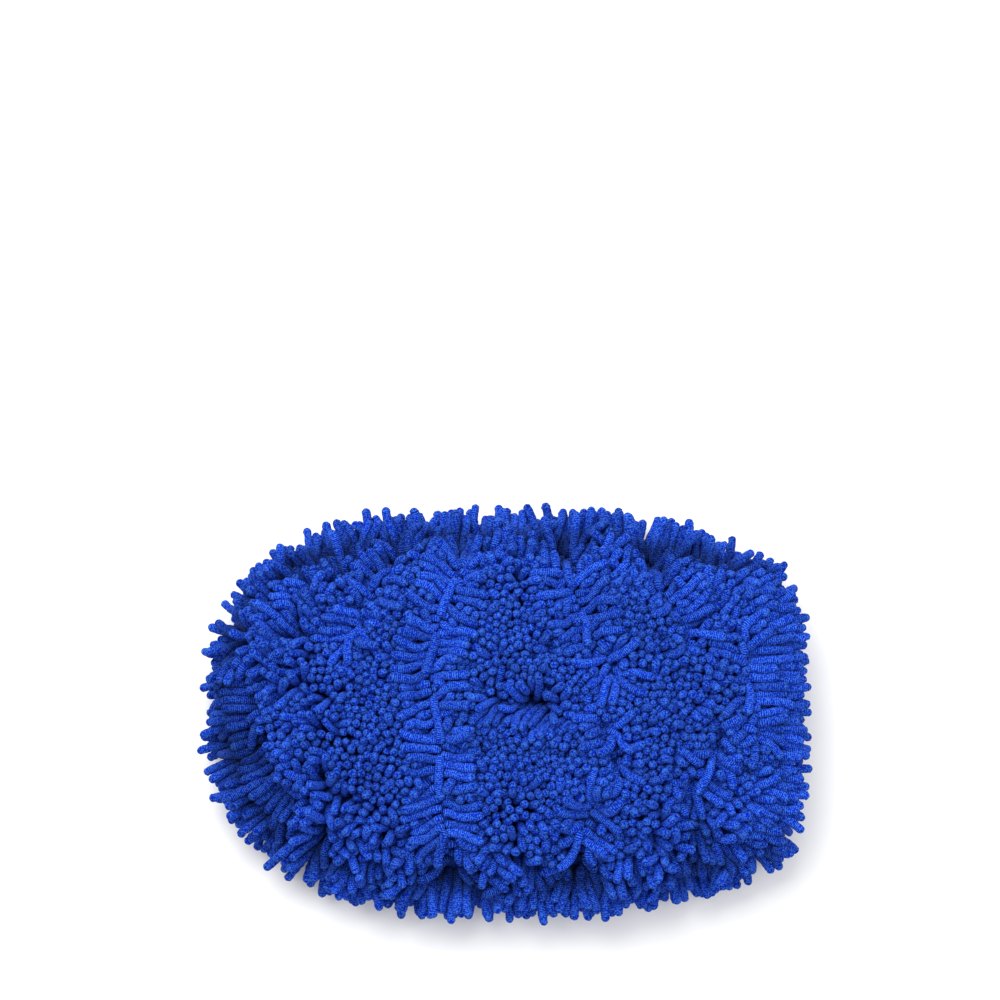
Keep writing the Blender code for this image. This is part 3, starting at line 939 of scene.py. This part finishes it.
def ply_mesh(name, path, radius, twist):
    """Two plies of thread twisted round a path, as one mesh of two tubes. twist is the length of a turn."""
    run = run_along(path)
    at = np.linspace(0, run[-1], max(6, int(run[-1] / (twist / 5))))
    line = points_at(at, run, path)
    tangent = np.gradient(line, axis=0)
    tangent /= np.linalg.norm(tangent, axis=1, keepdims=True) + 1e-12
    side = np.cross(tangent, np.array([0.31, 0.17, 0.93]))
    side /= np.linalg.norm(side, axis=1, keepdims=True) + 1e-12
    up = np.cross(tangent, side)
    ring = np.arange(6) / 6 * math.tau
    bodies = []
    for phase in (0, math.pi):
        turn = at / twist * math.tau + phase
        middle = line + radius * 0.5 * (side * np.cos(turn)[:, None] + up * np.sin(turn)[:, None])
        points = middle[:, None] + radius * 0.56 * (
            side[:, None] * np.cos(ring)[None, :, None] + up[:, None] * np.sin(ring)[None, :, None]
        )
        bodies.append(points)
    return ring_mesh(name, bodies, {})


def outline_points(share):
    """Points round the closed sides and toe of the pouch, from one corner of the mouth to the other."""
    angle = np.linspace(math.radians(27), math.tau - math.radians(27), 3000)
    radius = share * outline_radius(angle)
    x, y = radius * np.cos(angle), radius * np.sin(angle)
    inside = x < MOUTH - NEAR_MOUTH
    return x[inside], y[inside]


def overlock_path(share, pitch, depth, half_height):
    """A stitch that wraps the edges of two cloths: over the top, round the edge, under, and back."""
    x, y = outline_points(share)
    run = np.concatenate([[0], np.cumsum(np.hypot(np.diff(x), np.diff(y)))])
    at = np.arange(0, run[-1], pitch / 4)
    px, py = np.interp(at, run, x), np.interp(at, run, y)
    ox, oy = outward(px, py)
    phase = np.arange(at.size) % 4
    inset = np.choose(phase, (depth, 0.0, depth, 0.0))
    lift = np.choose(phase, (half_height, 0.0002, -half_height, -0.0002))
    return np.stack([px - ox * inset, py - oy * inset, SEAM_Z + lift], -1)


def build_threads():
    """The overlock stitches of the two seams and the zigzags of the cuff."""
    look = thread_look()
    path = overlock_path(1.004, 0.0040, 0.0026, 0.0023)
    mesh = ply_mesh("shell_overlock", path, 0.00028, TWIST)
    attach(new_piece("shell_overlock", mesh, look, "thread", "shell_seam_thread"), "back_half")
    path = overlock_path(LINING_SHARE + 0.006, 0.0036, 0.0018, 0.0013)
    mesh = ply_mesh("lining_overlock", path, 0.00024, TWIST)
    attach(new_piece("lining_overlock", mesh, look, "thread", "lining_seam_thread"), "back_half")
    middle = (MOUTH + cuff_low.x) / 2
    hem_x = cuff_low.x + 0.0020
    for name, node_name, offset, x, swing, radius in (
        ("cuff_join_stitch", "cuff_join_thread", 0.0016, middle, (0.0, 0.0005), 0.00026),
        ("cuff_hem_stitch", "cuff_topstitch", CUFF_WALL + 0.0005, hem_x, (0.0009, 0.0), 0.00024),
    ):
        for part, start, stop in CUFF_PARTS:
            angle, at = ellipse_arc(start, stop, 0.0016)
            sign = (-1.0) ** np.arange(len(angle))
            path = cuff_place(angle, offset + swing[1] * sign, x + swing[0] * sign)
            mesh = ply_mesh(f"{name}_{part}", path, radius, TWIST)
            place_cuff_part(new_piece(f"{name}_{part}", mesh, look, "thread", node_name), part)
    return look


# Hanging loop and label ----------------------------------------------------------------------------


def build_loop(thread):
    """A woven tape, folded double, with its ends under a bar of close stitches."""
    tape = TAPE_THICKNESS
    middle_x = (loop_low.x + loop_high.x) / 2
    middle_z = (loop_low.z + loop_high.z) / 2
    far = (loop_high.x - loop_low.x) / 2 - tape / 2
    near = 0.0011
    far_y = loop_high.y - tape / 2 - far
    near_y = loop_low.y + tape / 2 + near
    lean = math.asin((far - near) / (far_y - near_y))
    line = []
    for centre, radius, start, turn, count in (
        (far_y, far, -lean, math.pi + 2 * lean, 26),
        (near_y, near, math.pi + lean, math.pi - 2 * lean, 14),
    ):
        for angle in start + turn * np.linspace(0, 1, count):
            line.append((middle_x + radius * math.cos(angle), centre + radius * math.sin(angle)))
    line = np.array(line + line[:1])
    run = run_along(line)
    at = np.linspace(0, run[-1], 361)[:-1]
    x, y = np.interp(at, run, line[:, 0]), np.interp(at, run, line[:, 1])
    dx, dy = np.roll(x, -1) - np.roll(x, 1), np.roll(y, -1) - np.roll(y, 1)
    size = np.hypot(dx, dy)
    nx, ny = dy / size, -dx / size
    half = (loop_high.z - loop_low.z) / 2 - 0.0001
    # the section: flat faces with thin woven edges
    v = np.linspace(-1, 1, 27)
    profile = 0.5 * tape * (1 - 0.45 * np.abs(v) ** 8)
    up = np.concatenate([v, v[::-1]]) * half
    out = np.concatenate([profile, -profile[::-1]])
    weave = 1 + 0.16 * np.cos(at[:, None] * math.tau / 0.00075 + np.round(up[None] / 0.0007) * math.pi)
    sag = 0.00025 * np.sin(at / run[-1] * math.tau * 2)[:, None]
    points = np.stack([
        x[:, None] + nx[:, None] * out[None] * weave,
        y[:, None] + ny[:, None] * out[None] * weave,
        middle_z + up[None] + sag,
    ], -1)
    points = np.concatenate([points, points[:1]])
    marks = {
        "along": np.append(at, run[-1])[:, None] * 1000 + 0 * up[None],
        "around": up[None] * 1000 + 0 * points[:, :, 0],
    }
    mesh = ring_mesh("loop_tape", [points], marks)
    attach(new_piece("loop_tape", mesh, tape_look(), "webbing", "hang_loop"), "loop")
    centre = (bartack_low + bartack_high) / 2
    depth = (bartack_high.x - bartack_low.x) / 2 - 0.00012
    height = (bartack_high.z - bartack_low.z) / 2 - 0.00012
    turns = 13
    angle = np.arange(turns * 28) / 28 * math.tau
    y = np.linspace(bartack_low.y + 0.00015, bartack_high.y - 0.00015, angle.size)
    ring_x, ring_z = (np.sign(wave) * np.abs(wave) ** 0.6 for wave in (np.cos(angle), np.sin(angle)))
    path = np.stack([
        centre.x + depth * ring_x, y + 0.00006 * np.sin(angle * 3), centre.z + height * ring_z
    ], -1)
    mesh = ply_mesh("bartack_stitches", path, 0.00016, 0.0009)
    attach(new_piece("bartack_stitches", mesh, thread, "thread", "loop_bartack"), "back_half")


def build_label(thread):
    """A blank satin label, sewn down round its border on the back lining."""
    length, width = label_high.x - label_low.x, label_high.y - label_low.y
    u, v = np.meshgrid(np.linspace(0, 1, 60), np.linspace(-0.5, 0.5, 44), indexing="ij")
    x, y = label_low.x + length * u, (label_low.y + label_high.y) / 2 + width * v
    to_edge = np.minimum(np.minimum(u, 1 - u) * length, (0.5 - np.abs(v)) * width)
    border = np.clip(to_edge / 0.004 - 0.35, 0, 1)
    bed = back_lining_outer(x, y) + LINING
    lift = 0.0003 + 0.0007 * border * (0.6 + 0.4 * np.sin(u * 9 + v * 5))
    top = np.stack([x, y, bed + lift + 0.0003], -1)
    under = np.stack([x, y, bed + lift], -1)
    marks = {"along": np.concatenate([u, u[:, ::-1]], 1) * length * 1000}
    mesh = ring_mesh("label_cloth", [np.concatenate([top, under[:, ::-1]], 1)], marks)
    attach(new_piece("label_cloth", mesh, satin_look(), "label_satin", "care_label"), "back_half")
    inset = 0.0015
    low = np.array([label_low.x + inset, label_low.y + inset])
    high = np.array([label_high.x - inset, label_high.y - inset])
    corners = [(low[0], low[1]), (high[0], low[1]), (high[0], high[1]), (low[0], high[1]), (low[0], low[1])]
    bodies = []
    ring = np.arange(8) / 8 * math.tau
    for (ax, ay), (bx, by) in zip(corners[:-1], corners[1:]):
        reach = math.hypot(bx - ax, by - ay)
        way = np.array([(bx - ax) / reach, (by - ay) / reach])
        for start in np.arange(0.0003, reach - 0.0018, 0.0026):
            t = np.linspace(0, 1, 9)
            px = ax + way[0] * (start + 0.0019 * t)
            py = ay + way[1] * (start + 0.0019 * t)
            pz = back_lining_outer(px, py) + 0.0013 + 0.00034 * np.sin(t * math.pi) ** 0.6
            r = 0.00022 * (0.35 + 0.65 * np.sin(np.clip(t, 0.04, 0.96) * math.pi) ** 0.4)
            points = np.stack([
                px[:, None] - way[1] * r[:, None] * np.cos(ring),
                py[:, None] + way[0] * r[:, None] * np.cos(ring),
                pz[:, None] + r[:, None] * np.sin(ring),
            ], -1)
            bodies.append(points)
    mesh = ring_mesh("label_dashes", bodies, {})
    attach(new_piece("label_dashes", mesh, thread, "thread", "label_stitch"), "back_half")


# Materials -----------------------------------------------------------------------------------------


class Look:
    """A material, with a short way to write its nodes. Values are numbers or the sockets of other nodes."""

    def __init__(self, name, roughness):
        self.material = bpy.data.materials.new(name)
        self.material.use_nodes = True
        self.tree = self.material.node_tree
        self.shader = self.tree.nodes["Principled BSDF"]
        self.shader.inputs["Roughness"].default_value = roughness

    def put(self, socket, value):
        if isinstance(value, bpy.types.NodeSocket):
            self.tree.links.new(value, socket)
        else:
            socket.default_value = value

    def node(self, kind, settings, values):
        made = self.tree.nodes.new(kind)
        for key, value in settings.items():
            setattr(made, key, value)
        for key, value in values.items():
            self.put(made.inputs[key], value)
        return made

    def math(self, operation, *values):
        made = self.node("ShaderNodeMath", {"operation": operation}, {})
        for socket, value in zip(made.inputs, values):
            self.put(socket, value)
        return made.outputs[0]

    def times(self, a, b):
        return self.math("MULTIPLY", a, b)

    def times_add(self, a, b, c):
        return self.math("MULTIPLY_ADD", a, b, c)

    def mark(self, name):
        return self.node("ShaderNodeAttribute", {"attribute_name": name}, {}).outputs["Fac"]

    def place(self):
        return self.node("ShaderNodeTexCoord", {}, {}).outputs["Object"]

    def axes(self):
        return self.node("ShaderNodeSeparateXYZ", {}, {"Vector": self.place()}).outputs

    def cells(self, scale):
        values = {"Vector": self.place(), "Scale": scale}
        return self.node("ShaderNodeTexVoronoi", {}, values).outputs["Distance"]

    def noise(self, scale, detail):
        values = {"Vector": self.place(), "Scale": scale, "Detail": detail}
        return self.node("ShaderNodeTexNoise", {}, values).outputs["Fac"]

    def span(self, value, low, high, new_low, new_high):
        values = {"Value": value, "From Min": low, "From Max": high, "To Min": new_low, "To Max": new_high}
        return self.node("ShaderNodeMapRange", {}, values).outputs["Result"]

    def wave(self, value, pitch):
        return self.math("SINE", self.times(value, math.tau / pitch))

    def ramp(self, value, *stops):
        made = self.node("ShaderNodeValToRGB", {}, {"Fac": value})
        elements = made.color_ramp.elements
        for element, (place, colour) in zip(elements, stops):
            element.position = place
            element.color = (*colour, 1)
        return made.outputs["Color"]

    def dim(self, colour, value):
        return self.node("ShaderNodeHueSaturation", {}, {"Color": colour, "Value": value}).outputs["Color"]

    def surface(self, colour, height, strength, distance):
        values = {"Height": height, "Strength": strength, "Distance": distance}
        bump = self.node("ShaderNodeBump", {}, values)
        self.put(self.shader.inputs["Normal"], bump.outputs["Normal"])
        self.put(self.shader.inputs["Base Color"], colour)
        return self.material


def chenille_look():
    """Fine chenille yarn: crosswise ribs of 0.75 mm, broken up by grains. Painted shade darkens the pits
    between the grains, the grooves of the ribs, the pile low down near the cloth, and the rounded tips.
    """
    look = Look("chenille", 0.85)
    grain = look.span(look.cells(1350.0), 0.75, 0.10, 0, 1)
    phase = look.times(look.mark("along"), math.tau / 0.75)
    ribs = look.math("SINE", look.times_add(grain, 1.5, phase))
    ribs = look.times(ribs, look.math("SUBTRACT", 1.0, look.mark("cap")))
    ribs = look.times_add(look.mark("cap"), 0.35, ribs)
    height = look.times_add(ribs, 0.36, grain)
    # painted shade: the ramp on the height makes the pits and rib grooves dark, where shade falls between the
    # grains
    colour = look.ramp(height, (0.25, (0.0003, 0.015, 0.36)), (0.80, (0.041, 0.158, 0.67)))
    strand = look.span(look.mark("seed"), 0, 1, 0.76, 1.12)
    # painted shade: the colour darkens where the pile lies low over the cloth and its noodles shade each
    # other
    depth = look.span(look.mark("light"), 0.15, 0.90, 0.15, 1.11)
    # painted shade: the rounded tips of the noodles are darker than their bodies
    depth = look.times(depth, look.span(look.mark("cap"), 0, 1, 1.03, 0.82))
    lint = look.span(look.noise(38.0, 3.0), 0.3, 0.7, 0.94, 1.05)
    colour = look.dim(colour, look.times(look.times(strand, depth), lint))
    look.shader.inputs["Specular IOR Level"].default_value = 0.05
    look.shader.inputs["Sheen Weight"].default_value = 0.07
    look.shader.inputs["Sheen Roughness"].default_value = 0.4
    look.shader.inputs["Sheen Tint"].default_value = (0.35, 0.6, 1.0, 1)
    return look.surface(colour, height, 0.8, 0.0004)


def knit_look(name, dark, light, wale, course, roughness):
    """Knitted cloth: V stitches in wales and courses, in millimetres. A wale of 0 follows the mesh's ribs."""
    look = Look(name, roughness)
    if wale:
        axes = look.axes()
        along = look.times(axes["X"], 1000.0)
        across = look.times(axes["Y"], 1000.0)
    else:
        along = look.mark("around")
        across = look.mark("along")
        wale = 1.45
    column = look.math("ABSOLUTE", look.wave(across, 2 * wale))
    slant = look.times_add(column, 0.45 * course, along)
    stitches = look.times_add(look.wave(slant, course), 0.5, 0.5)
    height = look.times(look.math("POWER", column, 0.5), stitches)
    fuzz = look.noise(2600.0, 3.0)
    height = look.times_add(fuzz, 0.35, height)
    shade = look.ramp(height, (0.10, dark), (0.95, light))
    wear = look.span(look.noise(45.0, 4.0), 0.3, 0.7, 0.80, 1.12)
    rough = look.span(fuzz, 0.2, 0.8, roughness - 0.08, roughness + 0.04)
    look.put(look.shader.inputs["Roughness"], rough)
    look.shader.inputs["Specular IOR Level"].default_value = 0.15
    return look.surface(look.dim(shade, wear), height, 0.8, 0.00035)


def elastic_look():
    """Covered elastic: cords lengthwise, with close white yarn round them, slightly yellowed."""
    look = Look("elastic", 0.75)
    yarn = look.times_add(look.wave(look.mark("along"), 0.42), 0.5, 0.5)
    cords = look.math("ABSOLUTE", look.wave(look.mark("around"), 2.2))
    height = look.times_add(yarn, 0.5, cords)
    height = look.times_add(look.noise(1800.0, 2.0), 0.3, height)
    shade = look.ramp(height, (0.15, (0.34, 0.33, 0.29)), (1.0, (0.82, 0.81, 0.76)))
    aged = look.span(look.noise(70.0, 3.0), 0.3, 0.7, 0.88, 1.03)
    return look.surface(look.dim(shade, aged), height, 0.6, 0.0003)


def tape_look():
    """Woven polyester tape: twill lines across the tape, darker in the grooves, with a dull shine."""
    look = Look("webbing", 0.6)
    along, across = look.mark("along"), look.mark("around")
    chevron = look.math("ABSOLUTE", across)
    twill = look.wave(look.times_add(chevron, 0.9, along), 0.75)
    ends = look.wave(across, 0.5)
    height = look.times_add(ends, 0.25, look.times_add(twill, 0.5, 0.5))
    height = look.times_add(look.noise(2400.0, 2.0), 0.25, height)
    shade = look.ramp(height, (0.10, (0.0015, 0.012, 0.15)), (0.95, (0.014, 0.085, 0.50)))
    rubbed = look.span(look.noise(160.0, 4.0), 0.35, 0.75, 0.88, 1.18)
    return look.surface(look.dim(shade, rubbed), height, 0.7, 0.0003)


def thread_look():
    """Spun polyester thread: the twist is in the mesh, and this adds fibres and a slight fuzz."""
    look = Look("thread", 0.6)
    fibre = look.noise(3200.0, 4.0)
    grain = look.cells(4200.0)
    height = look.times_add(grain, 0.5, fibre)
    shade = look.ramp(height, (0.30, (0.003, 0.022, 0.26)), (0.90, (0.022, 0.125, 0.62)))
    return look.surface(shade, height, 0.5, 0.0002)


def satin_look():
    """Blank woven satin: close lengthwise floats, a soft shine and a slightly soiled white."""
    look = Look("label_satin", 0.42)
    axes = look.axes()
    floats = look.wave(look.times(axes["Y"], 1000.0), 0.34)
    picks = look.wave(look.mark("along"), 0.55)
    height = look.times_add(floats, 0.5, look.times_add(picks, 0.2, 0.5))
    shade = look.ramp(height, (0.05, (0.60, 0.60, 0.58)), (0.9, (0.84, 0.84, 0.82)))
    soil = look.span(look.noise(120.0, 4.0), 0.35, 0.75, 1.03, 0.90)
    look.put(look.shader.inputs["Roughness"], look.span(look.noise(300.0, 3.0), 0.3, 0.7, 0.36, 0.52))
    return look.surface(look.dim(shade, soil), height, 0.35, 0.00015)


# Stage ---------------------------------------------------------------------------------------------


def build_stage():
    """A pale floor, a white world, two soft lights, and the camera nearly overhead."""
    scene = bpy.context.scene
    bpy.ops.mesh.primitive_plane_add(size=6)
    floor = bpy.context.object
    floor.name = "floor"
    look = Look("floor", 0.8)
    look.shader.inputs["Base Color"].default_value = (0.92, 0.92, 0.92, 1)
    floor.data.materials.append(look.material)
    world = bpy.data.worlds.new("studio")
    world.use_nodes = True
    background = world.node_tree.nodes["Background"]
    background.inputs["Color"].default_value = (1, 1, 1, 1)
    background.inputs["Strength"].default_value = 0.65
    scene.world = world
    for name, place, size, power in (
        ("key", (-0.35, 0.55, 0.95), 1.0, 14.5),
        ("fill", (0.7, -0.3, 0.8), 0.8, 4.0),
    ):
        light = bpy.data.lights.new(name, "AREA")
        light.size = size
        light.energy = power
        lamp = bpy.data.objects.new(name, light)
        lamp.location = place
        lamp.rotation_euler = (Vector((0, 0, 0.02)) - Vector(place)).to_track_quat("-Z", "Y").to_euler()
        scene.collection.objects.link(lamp)
    scene.view_settings.view_transform = "Standard"
    elevation = math.radians(83)
    camera = bpy.data.cameras.new("camera")
    camera.lens = 85
    camera.sensor_width = 36
    # the mitt fills this share of the picture's width
    distance = 0.260 / 0.615 * camera.lens / camera.sensor_width - 0.010
    viewer = bpy.data.objects.new("camera", camera)
    target = Vector((0, 0, 0.03))
    viewer.location = target + distance * Vector((0, -math.cos(elevation), math.sin(elevation)))
    viewer.rotation_euler = (math.pi / 2 - elevation, 0, 0)
    camera.shift_y = 0.2085
    scene.collection.objects.link(viewer)
    scene.camera = viewer


def build_pile():
    """The noodles in pieces of at most NOODLES_PER_PIECE, split at the middle line."""
    chain, front, radius = build_chains()
    chenille = chenille_look()
    for side, node_name in ((1, "front_pile"), (-1, "back_pile")):
        for half, sign in (("left", 1), ("right", -1)):
            chosen = np.flatnonzero((np.sign(chain[:, 0, 1] + 1e-9) == sign) & (front == side))
            chosen = chosen[np.argsort(chain[chosen, 0, 0], kind="stable")]
            count = math.ceil(len(chosen) / NOODLES_PER_PIECE)
            for number, part in enumerate(np.array_split(chosen, count)):
                name = f"{node_name}_{half}_{number + 1}"
                mesh = tube_mesh(name, chain[part], radius[part])
                piece = new_piece(name, mesh, chenille, "chenille", node_name)
                if side == 1:
                    open_with_mouth(piece)
                else:
                    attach(piece, "back_half")


def main():
    build_pile()
    build_cloth()
    build_cuff()
    thread = build_threads()
    build_loop(thread)
    build_label(thread)
    build_stage()


main()
